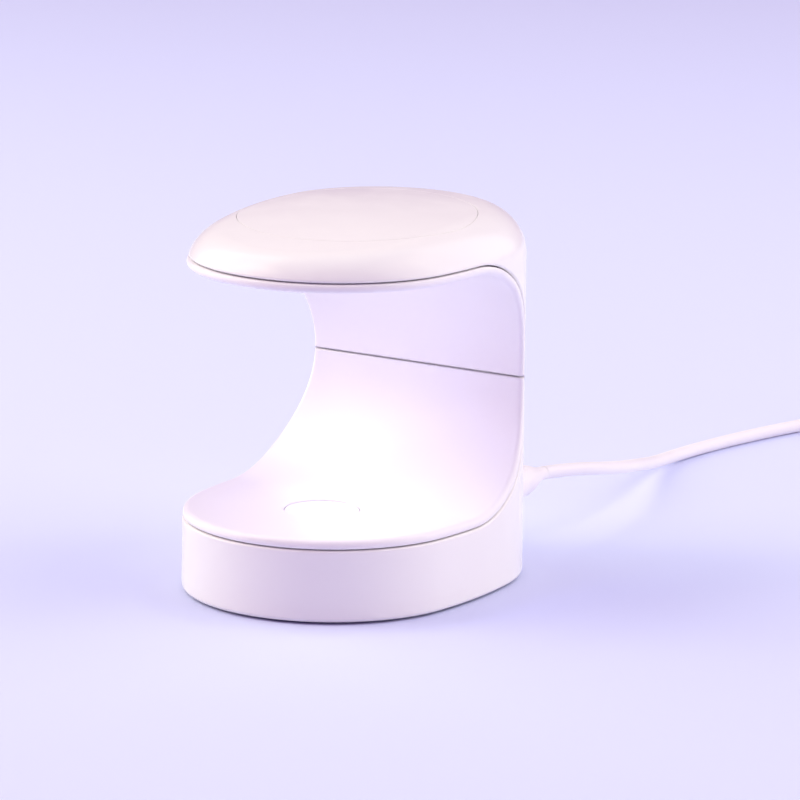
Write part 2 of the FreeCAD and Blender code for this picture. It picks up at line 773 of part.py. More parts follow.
def make_light_window():
    body = new_body("window")
    plan = sketch_on(body, "window_plan", lift="bay_middle+bay_radius")
    rectangle(plan, "window_width", "window_length", "lamp_board_along")
    pad(plan, "rim-seam_gap+fit_play")
    flange = sketch_on(body, "window_flange_plan", lift=LINER_HIGH + "+fit_play")
    wide = "window_width+2*window_flange"
    rectangle(flange, wide, "window_length+2*window_flange", "lamp_board_along")
    pad(flange, "window_flange_thick")
    return keep(body, "light_window")


# ---- Screws of the case ----


def make_base_screws():
    head = ("screw_head_radius", "screw_head_height", "screw_radius", "base_screw_length")
    screws = [
        screw("base_screw_%d" % number, *head, *place, "(%s+screw_head_height)" % COVER_LOW, True)
        for number, place in enumerate(corners("base_screw_across", "base_screw_along"))
    ]
    return keep(join("base_screws", screws), "base_screws")


def make_head_screws():
    head = ("screw_head_radius", "screw_head_height", "screw_radius", "head_screw_length")
    screws = [
        screw("head_screw_%d" % number, *head, str(across), str(along), str(seat), False)
        for number, (across, along, seat) in enumerate(HEAD_SCREWS)
    ]
    return keep(join("head_screws", screws), "head_screws")


# ---- Wires and lead ----


def bent_path(points, radius_for):
    """Straight runs joined by tangent arcs, one at each inner point."""
    points = [FreeCAD.Vector(*point) for point in points]
    edges = []
    begin = points[0]
    for before, here, after in zip(points, points[1:], points[2:]):
        arrive = (here - before).normalize()
        leave = (after - here).normalize()
        half_turn = arrive.getAngle(leave) / 2
        radius = radius_for(min((here - before).Length, (after - here).Length), half_turn)
        reach = radius * math.tan(half_turn)
        start = here - arrive * reach
        end = here + leave * reach
        inward = (leave - arrive).normalize()
        middle = here + inward * (radius / math.cos(half_turn) - radius)
        edges.append(Part.LineSegment(begin, start).toShape())
        edges.append(Part.Arc(start, middle, end).toShape())
        begin = end
    edges.append(Part.LineSegment(begin, points[-1]).toShape())
    return Part.Wire(edges)


def tube(name, path, radius):
    """A solid tube along the path, whose volume must match its section times its length."""
    first = path.Edges[0]
    section = Part.Wire(Part.makeCircle(radius, first.valueAt(first.FirstParameter), first.tangentAt(0)))
    shape = path.makePipe(Part.Face(section))
    expected = math.pi * radius**2 * path.Length
    if abs(shape.Volume / expected - 1) > 0.01:
        raise ValueError("%s has volume %.1f, not %.1f" % (name, shape.Volume, expected))
    piece = doc.addObject("Part::Feature", name)
    piece.Shape = shape
    return piece


def make_lamp_cable():
    """A flat cable from the control board, up the back of the shell and over the liner to the lamp board."""
    body = new_body("lamp_cable")
    side = sketch_on(body, "lamp_cable_side", "YZ_Plane")
    board = "board_top"
    lamp_board = "(%s+lamp_board_thick)" % LAMP_BOARD_LOW
    thick = "cable_thick"
    outline(
        side,
        (
            ("3.2", board),
            ("3.2+%s" % thick, board),
            ("3.2+%s" % thick, "12"),
            ("31.4+%s" % thick, "14.6"),
            ("31.4+%s" % thick, "76"),
            ("-0.1", "76"),
            ("-0.1", lamp_board),
            ("-0.1+%s" % thick, lamp_board),
            ("-0.1+%s" % thick, "76-%s/2" % thick),
            ("31.4", "76-%s/2" % thick),
            ("31.4", "14.6+%s" % thick),
            ("3.2", "12+%s" % thick),
        ),
    )
    pad(side, "cable_width", both_ways=True)
    return keep(body, "lamp_cable")


def make_supply_cable():
    """A flat cable from the lead's boot to the control board."""
    body = new_body("supply_cable")
    run = sketch_on(body, "supply_cable_run", lift="14.2")
    outline(
        run,
        (
            ("16.7", "boot_start"),
            ("16.7", "23.4"),
            ("5.9", "3.8"),
            ("8.3", "2.4"),
            ("19.3", "22.6"),
            ("19.3", "boot_start"),
        ),
    )
    pad(run, "cable_thick")
    drop = sketch_on(body, "supply_cable_drop", lift="board_top")
    outline(drop, (("5.9", "3.8"), ("8.3", "2.4"), ("8.9", "3.3"), ("6.5", "4.7")))
    pad(drop, "14.2+cable_thick-board_top")
    return keep(body, "supply_cable")


def make_lead_boot():
    """The flexible sleeve round the lead: a flare outside the shell, a neck in its hole and a collar inside."""
    body = new_body("boot_flare")
    half = sketch_on(body, "boot_half", lift="cord_height")
    outline(
        half,
        (
            ("0", "boot_start+4"),
            ("boot_flare", "boot_start+4"),
            ("boot_flare", "half_length-4"),
            ("boot_flare-1.4", "half_length-1"),
            ("cord_radius+0.4", "boot_end"),
            ("0", "boot_end"),
        ),
    )
    spin(half)
    bind(body, "Placement.Base.x", "cord_across")
    place = ("cord_across", "boot_start", "cord_height")
    flare = cut("boot_outside", body, lamp_form("boot_seat_form", "-fit_play", "0"))
    neck = cylinder("boot_neck", "boot_hole-fit_play", "10", *place, lying=True)
    blank = cylinder("boot_collar_blank", "boot_collar", "10", *place, lying=True)
    collar = overlap("boot_inside", blank, lamp_form("boot_collar_form", "wall+fit_play", "0"))
    return keep(join("lead_boot", [flare, neck, collar]), "lead_boot")


def make_cord():
    def radius_for(run, half_turn):
        radius = 0.45 * run / math.tan(half_turn)
        print("lead arc radius %.1f mm" % radius)
        return radius

    path = bent_path(CORD_ROUTE, radius_for)
    print("lead between boot and coil %.1f mm" % path.Length)
    keep(tube("power_cord", path, value("cord_radius")), "power_cord")


def make_coil():
    """The spare lead, wound up in a ring on the floor."""
    body = new_body("coil")
    half = sketch_on(body, "coil_section", "XZ_Plane")
    near = "coil_radius-coil_half"
    far = "coil_radius+coil_half"
    outline(half, ((near, "0"), (far, "0"), (far, "coil_height"), (near, "coil_height")))
    spin(half)
    tail = sketch_on(body, "coil_tail_end", "YZ_Plane")
    circle(tail, "coil_radius+coil_half-cord_radius", PLUG_MIDDLE, "cord_radius")
    pad(tail, "coil_tail")
    body.Placement.Rotation = FreeCAD.Rotation(UP, -90)
    bind(body, "Placement.Base.x", "coil_across")
    bind(body, "Placement.Base.y", "coil_along")
    return keep(body, "cord_coil")


# ---- Plug ----


def place_plug(body):
    """Put a piece of the plug at the end of the lead that leaves the coil."""
    body.Placement.Rotation = FreeCAD.Rotation(UP, -90)
    bind(body, "Placement.Base.x", "coil_across+coil_radius+coil_half-cord_radius")
    bind(body, "Placement.Base.y", "coil_along-coil_tail")


PLUG_FACE = "(plug_neck+plug_length)"
USB_START = "(%s-usb_root)" % PLUG_FACE
USB_TOTAL = "(usb_root+usb_length)"



def make_plug_grip():
    body = new_body("plug_grip")
    plan = sketch_on(body, "plug_grip_end", "YZ_Plane", "plug_neck")
    rectangle(plan, "plug_width", "plug_height", PLUG_MIDDLE)
    grip = pad(plan, "plug_length")
    rounded = soften(grip, "2.5", lambda edge: edge.BoundBox.XLength > value("plug_length") / 2)
    ends = (value("plug_neck"), value(PLUG_FACE))

    def at_end(edge):
        return edge.BoundBox.XLength < 0.01 and min(abs(edge.BoundBox.XMin - end) for end in ends) < 0.01

    soften(rounded, "0.8", at_end, "Chamfer")
    neck = sketch_on(body, "plug_neck_end", "YZ_Plane")
    circle(neck, "0", PLUG_MIDDLE, "cord_radius+1")
    pad(neck, "plug_neck+1")
    mouth = sketch_on(body, "plug_mouth", "YZ_Plane", PLUG_FACE)
    rectangle(mouth, "usb_width+2*fit_play", "usb_height+2*fit_play", PLUG_MIDDLE)
    pocket(mouth, "usb_root+fit_play")
    place_plug(body)
    return keep(body, "usb_plug_grip")


def make_usb_shell():
    body = new_body("usb_shell")
    end = sketch_on(body, "usb_shell_end", "YZ_Plane", USB_START)
    rectangle(end, "usb_width", "usb_height", PLUG_MIDDLE)
    rectangle(end, "usb_width-2*usb_metal", "usb_height-2*usb_metal", PLUG_MIDDLE)
    pad(end, USB_TOTAL)
    windows = sketch_on(body, "usb_shell_windows", lift="%s+usb_height/2" % PLUG_MIDDLE)
    near = "%s+5" % PLUG_FACE
    for low, high in (("-3.8", "-1.4"), ("1.4", "3.8")):
        outline(windows, ((near, low), (near + "+2.5", low), (near + "+2.5", high), (near, high)))
    pocket(windows, "usb_height/2")
    place_plug(body)
    return keep(body, "usb_shell")


def make_usb_tongue():
    """The plastic tongue inside the metal shell, and the four contacts on it."""
    body = new_body("usb_tongue")
    end = sketch_on(body, "usb_tongue_end", "YZ_Plane", USB_START + "+fit_play")
    bottom = "%s-usb_height/2+usb_metal+fit_play" % PLUG_MIDDLE
    rectangle(end, "usb_width-2*usb_metal-2*fit_play", "tongue_thick", bottom + "+tongue_thick/2")
    pad(end, USB_TOTAL + "-0.3")
    place_plug(body)
    keep(body, "usb_tongue")
    contacts = new_body("usb_contacts")
    plan = sketch_on(contacts, "usb_contacts_plan", lift=bottom + "+tongue_thick")
    for number, length in enumerate((8.0, 7.0, 7.0, 8.0)):
        low = "%.1f" % (number * 2.5 - 4.25)
        high = "%.1f" % (number * 2.5 - 3.25)
        near = PLUG_FACE + "+usb_length-1"
        back = near + "-%.1f" % length
        outline(plan, ((back, low), (near, low), (near, high), (back, high)))
    pad(plan, "0.2")
    place_plug(contacts)
    keep(contacts, "usb_contacts")


# ---- Build and export ----

make_outer_shell()
make_upper_liner()
make_lower_liner()
make_top_cap()
make_bottom_cover()
make_rubber_feet()
make_power_button()
make_switch()
make_control_board()
make_board_components()
make_lamp_board()
make_light_emitters()
make_light_window()
make_base_screws()
make_head_screws()
make_lamp_cable()
make_supply_cable()
make_lead_boot()
make_cord()
make_coil()
make_plug_grip()
make_usb_shell()
make_usb_tongue()
doc.recompute()

for thing in doc.Objects:
    if "Invalid" in thing.State or "Error" in thing.State:
        raise ValueError("%s is %s" % (thing.Name, thing.State))

os.makedirs(FOLDER, exist_ok=True)
for node in nodes:
    shape = node.Shape
    if shape.isNull() or not shape.isValid() or not shape.Solids:
        raise ValueError("%s has no valid solid" % node.Label)
    bounds = shape.BoundBox
    sizes = (bounds.XMin, bounds.XMax, bounds.YMin, bounds.YMax, bounds.ZMin, bounds.ZMax)
    print("%-17s %2d solid %9.1f mm3  x %6.1f %6.1f  y %6.1f %6.1f  z %5.2f %5.2f"
          % (node.Label, len(shape.Solids), shape.Volume, *sizes))
    shape.exportStep(os.path.join(FOLDER, node.Label + ".step"))
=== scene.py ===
"""The looks of a small C-shaped nail lamp: white glossy plastic, a glowing window and a soft lead.

Metres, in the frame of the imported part: +Z is up, the mouth of the C faces -Y. The shapes of the case
and the lead are written in millimetres and turned into metres as their meshes are made.
"""

import math

import bmesh
import bpy
from mathutils import Matrix, Vector


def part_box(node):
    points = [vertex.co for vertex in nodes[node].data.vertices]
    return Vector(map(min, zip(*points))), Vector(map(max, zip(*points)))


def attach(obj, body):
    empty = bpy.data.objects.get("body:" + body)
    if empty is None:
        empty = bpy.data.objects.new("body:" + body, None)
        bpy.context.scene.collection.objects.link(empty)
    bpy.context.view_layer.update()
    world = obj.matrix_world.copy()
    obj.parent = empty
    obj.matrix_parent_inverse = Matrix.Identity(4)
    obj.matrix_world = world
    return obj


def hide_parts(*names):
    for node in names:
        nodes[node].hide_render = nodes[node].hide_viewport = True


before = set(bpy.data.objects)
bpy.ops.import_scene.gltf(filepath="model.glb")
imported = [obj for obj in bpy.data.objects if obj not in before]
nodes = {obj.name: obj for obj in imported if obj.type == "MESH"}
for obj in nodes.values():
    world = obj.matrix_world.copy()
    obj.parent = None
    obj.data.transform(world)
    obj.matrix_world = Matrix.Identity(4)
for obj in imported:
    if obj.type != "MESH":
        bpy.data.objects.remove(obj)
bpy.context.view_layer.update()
scene = bpy.context.scene
scene.view_settings.view_transform = "Standard"

MM = 0.001


def linear(red, green, blue):
    """A colour given as 0 to 255 screen values, as the linear colour that Blender takes."""
    colour = []
    for value in (red, green, blue):
        level = value / 255
        colour.append(level / 12.92 if level <= 0.04045 else ((level + 0.055) / 1.055) ** 2.4)
    return (*colour, 1.0)


# ---- Camera ----

CAMERA_PLACE = (0.60775, -0.94040, 0.28736)
CAMERA_AIM = (0.00746, 0.00619, 0.03932)
CAMERA_ROLL = -0.0128
CAMERA_LENS = 241.4
CAMERA_SENSOR = 36
CAMERA_NEAR = 0.05
CAMERA_FAR = 50


def facing(place, aim):
    """The matrix of a camera or light that stands at a place and looks at its aim."""
    direction = Vector(aim) - Vector(place)
    return Matrix.Translation(place) @ direction.to_track_quat("-Z", "Y").to_matrix().to_4x4()


camera = bpy.data.objects.new("camera", bpy.data.cameras.new("camera"))
scene.collection.objects.link(camera)
scene.camera = camera
camera.data.lens = CAMERA_LENS
camera.data.sensor_width = CAMERA_SENSOR
camera.data.clip_start = CAMERA_NEAR
camera.data.clip_end = CAMERA_FAR
camera_turn = Matrix.Rotation(-CAMERA_ROLL, 4, "Z")
camera.matrix_world = facing(CAMERA_PLACE, CAMERA_AIM) @ camera_turn


# ---- Shader tools ----


def new_material(name, colour, roughness, **values):
    """A material with one Principled BSDF, whose plain values are set on its own sockets."""
    material = bpy.data.materials.new(name)
    material.use_nodes = True
    shader = material.node_tree.nodes["Principled BSDF"]
    shader.inputs["Base Color"].default_value = colour
    shader.inputs["Roughness"].default_value = roughness
    for socket, value in values.items():
        shader.inputs[socket.replace("_", " ")].default_value = value
    return material


def add_node(material, kind, **settings):
    """A new node in a material, with the given settings."""
    node = material.node_tree.nodes.new(kind)
    for name, value in settings.items():
        setattr(node, name, value)
    return node


def wire(material, start, end):
    """Link an output to an input in a material."""
    material.node_tree.links.new(start, end)


# ---- The lead ----

CORD_RADIUS = 1.5 * MM
CORD_STEPS = 6
CORD_EXIT = (18.0, 49.0, 16.6)
CORD_ROUTE = (
    (18.0, 49.0, 16.6),
    (18.0, 60.0, 15.4),
    (17.5, 82.0, 11.3),
    (11.0, 104.0, 7.0),
    (3.5, 124.0, 2.7),
    (1.5, 142.0, 1.5),
    (4.5, 162.0, 1.5),
    (9.5, 182.0, 1.5),
    (14.5, 195.0, 1.5),
    (16.5, 205.0, 1.5),
)
COIL_MIDDLE = (38.5, 206.0)
POINTS_PER_TURN = 24
# Turns, radius and height where the coil changes, from its outer turn on the floor to the one above.
COIL_STAGES = (
    (0.00, 22.0, 1.5),
    (2.90, 13.2, 1.5),
    (3.00, 12.9, 1.6),
    (3.25, 12.1, 2.9),
    (3.60, 11.3, 4.55),
    (3.85, 12.9, 4.6),
    (4.10, 14.7, 4.6),
    (6.50, 22.0, 4.6),
)
# The lead leaves the coil for the plug.
COIL_END = ((60.5, 197.5, 4.2), (60.5, 189.0, 4.0))


def coil_point(turn):
    """The lead's place after this many turns of the coil."""
    for stage, following in zip(COIL_STAGES, COIL_STAGES[1:]):
        if stage[0] <= turn <= following[0]:
            share = (turn - stage[0]) / (following[0] - stage[0])
            radius = stage[1] + (following[1] - stage[1]) * share
            height = stage[2] + (following[2] - stage[2]) * share
            break
    angle = math.pi - turn * math.tau
    across = COIL_MIDDLE[0] + radius * math.cos(angle)
    along = COIL_MIDDLE[1] + radius * math.sin(angle)
    return across, along, height


def coil_points():
    """The coil's points, after the one where the route ends."""
    count = int(COIL_STAGES[-1][0] * POINTS_PER_TURN)
    return [coil_point(step / POINTS_PER_TURN) for step in range(1, count + 1)]


def spline_length(curve_object):
    """The length of a curve that has no bevel yet."""
    mesh = bpy.data.meshes.new_from_object(curve_object)
    places = [vertex.co for vertex in mesh.vertices]
    return sum((places[edge.vertices[0]] - places[edge.vertices[1]]).length for edge in mesh.edges)


def make_cord():
    """The lead as one smooth spline, and its length."""
    points = [*CORD_ROUTE, *coil_points(), *COIL_END]
    curve = bpy.data.curves.new("cord", "CURVE")
    curve.dimensions = "3D"
    curve.resolution_u = CORD_STEPS
    spline = curve.splines.new("NURBS")
    spline.points.add(len(points) - 1)
    for spot, point in zip(spline.points, points):
        spot.co = [value * MM for value in point] + [1.0]
        spot.radius = CORD_RADIUS
    spline.order_u = 3
    spline.use_endpoint_u = True
    cord = bpy.data.objects.new("lead", curve)
    scene.collection.objects.link(cord)
    length = spline_length(cord)
    # The points carry the radius, because a curve's box is measured with it. The bevel multiplies it.
    curve.bevel_depth = 1.0
    curve.bevel_resolution = CORD_STEPS
    return cord, length


cord, cord_length = make_cord()


# ---- Shape of the case, in millimetres ----

# The plan is an oval of four arcs: two narrow ends and two long sides.
HALF_WIDTH = 32.1
HALF_LENGTH = 40.95
END_RADIUS = 31.5
END_CENTRE = HALF_LENGTH - END_RADIUS
SIDE_RADIUS = (HALF_WIDTH**2 + END_CENTRE**2 - END_RADIUS**2) / (2 * (HALF_WIDTH - END_RADIUS))
SIDE_CENTRE = HALF_WIDTH - SIDE_RADIUS
SIDE_END = END_CENTRE * SIDE_RADIUS / (SIDE_RADIUS - END_RADIUS)
FOOT_GAP = 0.5
DRAFT = math.tan(math.radians(0.25))
SHELL_WALL = 2.0

# The top is part of a large sphere that leans to the front, with a rounded shoulder round it.
CROWN_HEIGHT = 81.4
CROWN_RADIUS = 212.0
CROWN_TILT = math.radians(2.6)
CROWN_AXIS = Vector((0, -math.sin(CROWN_TILT), math.cos(CROWN_TILT)))
CROWN_TOP = Vector((0, 0, CROWN_HEIGHT))
CROWN_CENTRE = CROWN_TOP - CROWN_AXIS * CROWN_RADIUS
SHOULDER = 10.0

# The cap lies in a recess of the top.
CAP_RADIUS = 25.57
CAP_PLAY = 0.08
CAP_ROUND = 0.05
# Depths of the cap's side and of the recess's side under their edges, along the crown's axis.
CAP_DEPTHS = (2.8, 1.4)
RECESS_DEPTHS = (1.5, 2.9)
# The recess's floor covers this share of the way to the middle.
RECESS_SHARE = 0.1

# The bay is a slot across the lamp with a round back. Both liners meet at the split.
BAY_MIDDLE = 44.1
BAY_BACK = -1.5
BAY_RADIUS = 26.0
LINER_BACK = 27.9
SEAM = 28.2
LINER_INSET = 0.1
LINER_BACK_ROUND = 0.4
LIP = 1.35
SPLIT = 43.5
SPLIT_GAP = 0.25

BUTTON_RADIUS = 8.0
BUTTON_ALONG = -12.5
BUTTON_PLAY = 0.15
# The button's top lies a little under the bay's floor, so the hole's edge throws a thin shadow on it.
BUTTON_SINK = 0.22
BUTTON_ROUND = 0.3
# Radii of the button's crown, with how far each lies under the top.
BUTTON_CROWN = ((0, 0), (5.5, 0), (7.0, 0.005))
# Radii and heights of the button's hidden part: its flange and the boss over the switch's stem.
BUTTON_SHAFT = (
    (BUTTON_RADIUS, 15.8),
    (9.25, 15.8),
    (9.25, 14.95),
    (2.2, 14.95),
    (2.2, 13.56),
    (0, 13.56),
)
# The button's hole is cut this deep, with a small bevel at its edge.
HOLE_DEPTH = 4
HOLE_BEVEL = 0.2
# The cutter of the hole stands out over the bay's floor by this much.
HOLE_EXCESS = 0.5

# The window's opening is smaller than the window by the lap. A block of this height cuts it.
WINDOW_ALONG = -8.0
WINDOW_LAP = 1.9
WINDOW_CUT = 6

# Places along the boot where it starts, begins to narrow, has its neck and has met the lead.
BOOT_START = 31.2
BOOT_SHOULDER = 33.0
BOOT_WAIST = 39.0
BOOT_TIP = 48.0
BOOT_FLARE = 4.3
BOOT_NECK = 3.45
# The boot's radius over the lead's, at the tip and at the exit.
BOOT_PLAY = (0.05, 0.02)

# How finely the shapes are divided.
END_STEPS = 36
SIDE_STEPS = 8
BACK_STEPS = 30
TURN_STEPS = 44
WALL_STEPS = 8
BOTTOM_STEPS = 8
STRIP_STEPS = 8
CROWN_STEPS = 26
CAP_STEPS = 24
LIP_STEPS = 10
BUTTON_STEPS = 128
BUTTON_EDGE_STEPS = 5
BOOT_STEPS = 64
FLARE_STEPS = 6
TAPER_STEPS = 14
EDGE_STEPS = 4
# The turns round the bay's back lie closer together near its end by this power.
TURN_POWER = 1.25

# How often a search for a place on the form is repeated.
BALL_SEARCH = 4
FORM_SEARCH = 5
HALVINGS = 30
CAP_HALVINGS = 40

# Points nearer than the weld are joined, and edges shorter than a sliver are dissolved.
WELD = 0.002 * MM
CUTTER_WELD = 0.001 * MM
SLIVER = 0.0005 * MM

# How much the faces' areas count in the shading.
FACE_WEIGHT = 60


class Station:
    """A place on the right half of the oval outline, with its arc's centre and radius.

    It also knows the outward direction and the ball that rounds the shoulder there.
    """

    def __init__(self, along):
        if abs(along) <= SIDE_END:
            self.centre = Vector((SIDE_CENTRE, 0, 0))
            self.radius = SIDE_RADIUS
            sine = along / SIDE_RADIUS
        else:
            self.centre = Vector((0, math.copysign(END_CENTRE, along), 0))
            self.radius = END_RADIUS
            sine = (along - self.centre.y) / END_RADIUS
        self.out = Vector((math.sqrt(max(0.0, 1 - sine * sine)), sine, 0))
        self.ball, self.up = self.shoulder_ball()

    def wall(self, height, inset=0.0):
        """The point of the drafted wall at a height, moved in by inset."""
        reach = self.radius - inset - DRAFT * (height - FOOT_GAP)
        place = self.centre + self.out * reach
        place.z = height
        return place

    def shoulder_ball(self):
        """Middle of the ball that rounds the shoulder here, and the way from it to the crown."""
        height = CROWN_HEIGHT - 2 * SHOULDER
        for _ in range(BALL_SEARCH):
            ball = self.wall(height, SHOULDER)
            flat = ball - CROWN_CENTRE
            rise = math.sqrt((CROWN_RADIUS - SHOULDER) ** 2 - flat.x**2 - flat.y**2)
            height = CROWN_CENTRE.z + rise
        ball = self.wall(height, SHOULDER)
        return ball, (ball - CROWN_CENTRE).normalized()

    def at(self, height, inset=0.0):
        """The outer form's point at a height, moved in by inset."""
        if height <= self.ball.z:
            return self.wall(height, inset)
        low, high = 0.0, 1.0
        for _ in range(HALVINGS):
            middle = (low + high) / 2
            place = self.ball + self.out.slerp(self.up, middle) * (SHOULDER - inset)
            if place.z < height:
                low = middle
            else:
                high = middle
        return place

    def top(self, step):
        """A point over the top: step 0 is the wall's end, 1 the shoulder's and 2 the crown's middle."""
        if step <= 1:
            return self.ball + self.out.slerp(self.up, step) * SHOULDER
        return CROWN_CENTRE + self.up.slerp(CROWN_AXIS, step - 1) * CROWN_RADIUS

    def cap_step(self, radius):
        """The step at which the top is this far from the crown's axis."""
        low, high = 0.0, 2.0
        for _ in range(CAP_HALVINGS):
            middle = (low + high) / 2
            offset = self.top(middle) - CROWN_TOP
            if (offset - CROWN_AXIS * offset.dot(CROWN_AXIS)).length > radius:
                low = middle
            else:
                high = middle
        return low


def end_arc(sign, count):
    """Places along one end's arc, from the end's middle to the side."""
    full = math.acos((SIDE_END - END_CENTRE) / END_RADIUS)
    turns = [full * step / count for step in range(count + 1)]
    return [sign * (END_CENTRE + END_RADIUS * math.cos(turn)) for turn in turns]


def steps(start, end, count):
    """Even values from start to end, both included."""
    return [start + (end - start) * step / count for step in range(count + 1)]


FRONT = end_arc(-1, END_STEPS)
SIDE = steps(-SIDE_END, BAY_BACK, SIDE_STEPS)[1:-1]
TURNS = [math.pi / 2 * (1 - (1 - share) ** TURN_POWER) for share in steps(0, 1, TURN_STEPS)]


def form_point(along, height, inset):
    """The point on the right side of the outer form, moved in by inset, this far along the lamp."""
    guess = along
    for _ in range(FORM_SEARCH):
        place = Station(guess).at(height, inset)
        guess = min(HALF_LENGTH, guess + along - place.y)
    return place


def rim_point(place, radius, depth, side, inset=0.0):
    """A point at a distance radius from the bay's middle line, depth inside the form.

    Place is ("flat", along) in front of the bay's round back and ("round", turn) along it. Side -1 is
    the lower half of the bay and 1 the upper.
    """
    kind, amount = place
    if kind == "flat":
        return Station(amount).at(BAY_MIDDLE + side * radius, inset + depth)
    along = BAY_BACK + radius * math.sin(amount)
    return form_point(along, BAY_MIDDLE + side * radius * math.cos(amount), inset + depth)


def rounded(edge, first, second, radius, count=EDGE_STEPS):
    """Points round an edge, from radius along first to radius along second."""
    points = []
    for step in range(count + 1):
        turn = math.pi / 2 * step / count
        along_first = first * (radius * (1 - math.sin(turn)))
        along_second = second * (radius * (1 - math.cos(turn)))
        points.append(edge + along_first + along_second)
    return points


def edge_profile(corner, first, second, radius, count=EDGE_STEPS):
    """The same as rounded, for (radius, depth) pairs of the rim."""
    middle = Vector((corner[0], corner[1], 0))
    corners = rounded(middle, Vector((*first, 0)), Vector((*second, 0)), radius, count)
    return [(point.x, point.y) for point in corners]


def add_rows(mesh, rows):
    """Quads between neighbouring rows of points, given in millimetres, and their mirror image."""
    for mirror in (1, -1):
        made = []
        for row in rows:
            spots = [(mirror * point.x * MM, point.y * MM, point.z * MM) for point in row]
            made.append([mesh.verts.new(spot) for spot in spots])
        for row, following in zip(made, made[1:]):
            for index in range(len(row) - 1):
                corners = [row[index], row[index + 1], following[index + 1], following[index]]
                mesh.faces.new(corners if mirror == 1 else corners[::-1])


def finish_mesh(name, mesh, body, closed=False):
    """Weld a mesh, face it outward and make it an object that rides on a body."""
    bmesh.ops.remove_doubles(mesh, verts=mesh.verts, dist=WELD)
    bmesh.ops.dissolve_degenerate(mesh, edges=mesh.edges, dist=SLIVER)
    if closed:
        open_edges = [edge for edge in mesh.edges if edge.is_boundary]
        bmesh.ops.edgeloop_fill(mesh, edges=open_edges)
    bmesh.ops.recalc_face_normals(mesh, faces=mesh.faces)
    for face in mesh.faces:
        face.smooth = True
    data = bpy.data.meshes.new(name)
    mesh.to_mesh(data)
    mesh.free()
    piece = bpy.data.objects.new(name, data)
    scene.collection.objects.link(piece)
    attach(piece, body)
    return piece


def weigh_normals(piece):
    """Let large faces lead the shading, so that narrow roundings next to them stay crisp."""
    modifier = piece.modifiers.new("even_shading", "WEIGHTED_NORMAL")
    modifier.keep_sharp = True
    modifier.weight = FACE_WEIGHT


# ---- Shell ----

SEAM_ROUND = 0.5
BOTTOM_ROUND = 1.0
WALL_START = FOOT_GAP + BOTTOM_ROUND
# Heights of the shell's inside rows over its lower edge.
INSIDE_HEIGHTS = (2.0, 0.3)
# The part of the shoulder that gets rows of its own right over the seam.
SEAM_STRIP = 0.08
# A short step over the top, to find its direction there.
PROBE = 0.01
SHELL_RIM = edge_profile((SEAM, 0.0), (1, 0), (0, 1), SEAM_ROUND)
SHELL_RIM += [(SEAM, SHELL_WALL / 2), (SEAM, SHELL_WALL)]
SHELL_PLACES = [("flat", along) for along in FRONT + SIDE] + [("round", turn) for turn in TURNS]
RIM_END = BAY_BACK + SEAM + SEAM_ROUND
BACK_START = math.acos((RIM_END - END_CENTRE) / END_RADIUS)
BACK_TURNS = [BACK_START * (1 - share) for share in steps(0, 1, BACK_STEPS)]
BACK = [END_CENTRE + END_RADIUS * math.cos(turn) for turn in BACK_TURNS]


def seam_along(place):
    """How far along the lamp the seam is at this place."""
    kind, amount = place
    if kind == "flat":
        return amount
    return BAY_BACK + (SEAM + SEAM_ROUND) * math.sin(amount)


def wall_rows(station, start, end):
    """Points up the wall, from one height to another."""
    return [station.wall(height) for height in steps(start, end, WALL_STEPS)]


def bottom_rows(station):
    """The rounded lower edge of the shell, from inside to just before the wall."""
    inner = [station.wall(FOOT_GAP + height, SHELL_WALL) for height in INSIDE_HEIGHTS]
    up = Vector((0, 0, 1))
    edge = rounded(station.wall(FOOT_GAP), -station.out, up, BOTTOM_ROUND, BOTTOM_STEPS)
    return inner + edge[:-1]


def shell_top_rows(station, first=0.0):
    """From a step on the shoulder to the cap's recess."""
    last = station.cap_step(CAP_RADIUS + CAP_PLAY)
    edge = station.top(last)
    back = station.top(last - PROBE) - edge
    before = last - PROBE * CAP_ROUND / back.length
    surface = [station.top(step) for step in steps(first, before, CROWN_STEPS)]
    recess = rounded(edge, back.normalized(), -CROWN_AXIS, CAP_ROUND)[1:]
    recess += [edge - CROWN_AXIS * depth for depth in RECESS_DEPTHS]
    inward = (CROWN_TOP - edge) - CROWN_AXIS * (CROWN_TOP - edge).dot(CROWN_AXIS)
    return surface + recess + [recess[-1] + inward * RECESS_SHARE]


def over_seam_rows(station, seam):
    """From the seam up the wall, where there is any above it, and over the top."""
    if seam.z < station.ball.z:
        walls = wall_rows(station, seam.z, station.ball.z)[1:-1]
        return [seam] + walls + shell_top_rows(station)
    low, high = 0.0, 1.0
    for _ in range(HALVINGS):
        middle = (low + high) / 2
        if station.top(middle).z < seam.z:
            low = middle
        else:
            high = middle
    strip = steps(low, low + SEAM_STRIP, STRIP_STEPS)[1:-1]
    shoulder = [station.top(step) for step in strip]
    return [seam] + shoulder + shell_top_rows(station, low + SEAM_STRIP)


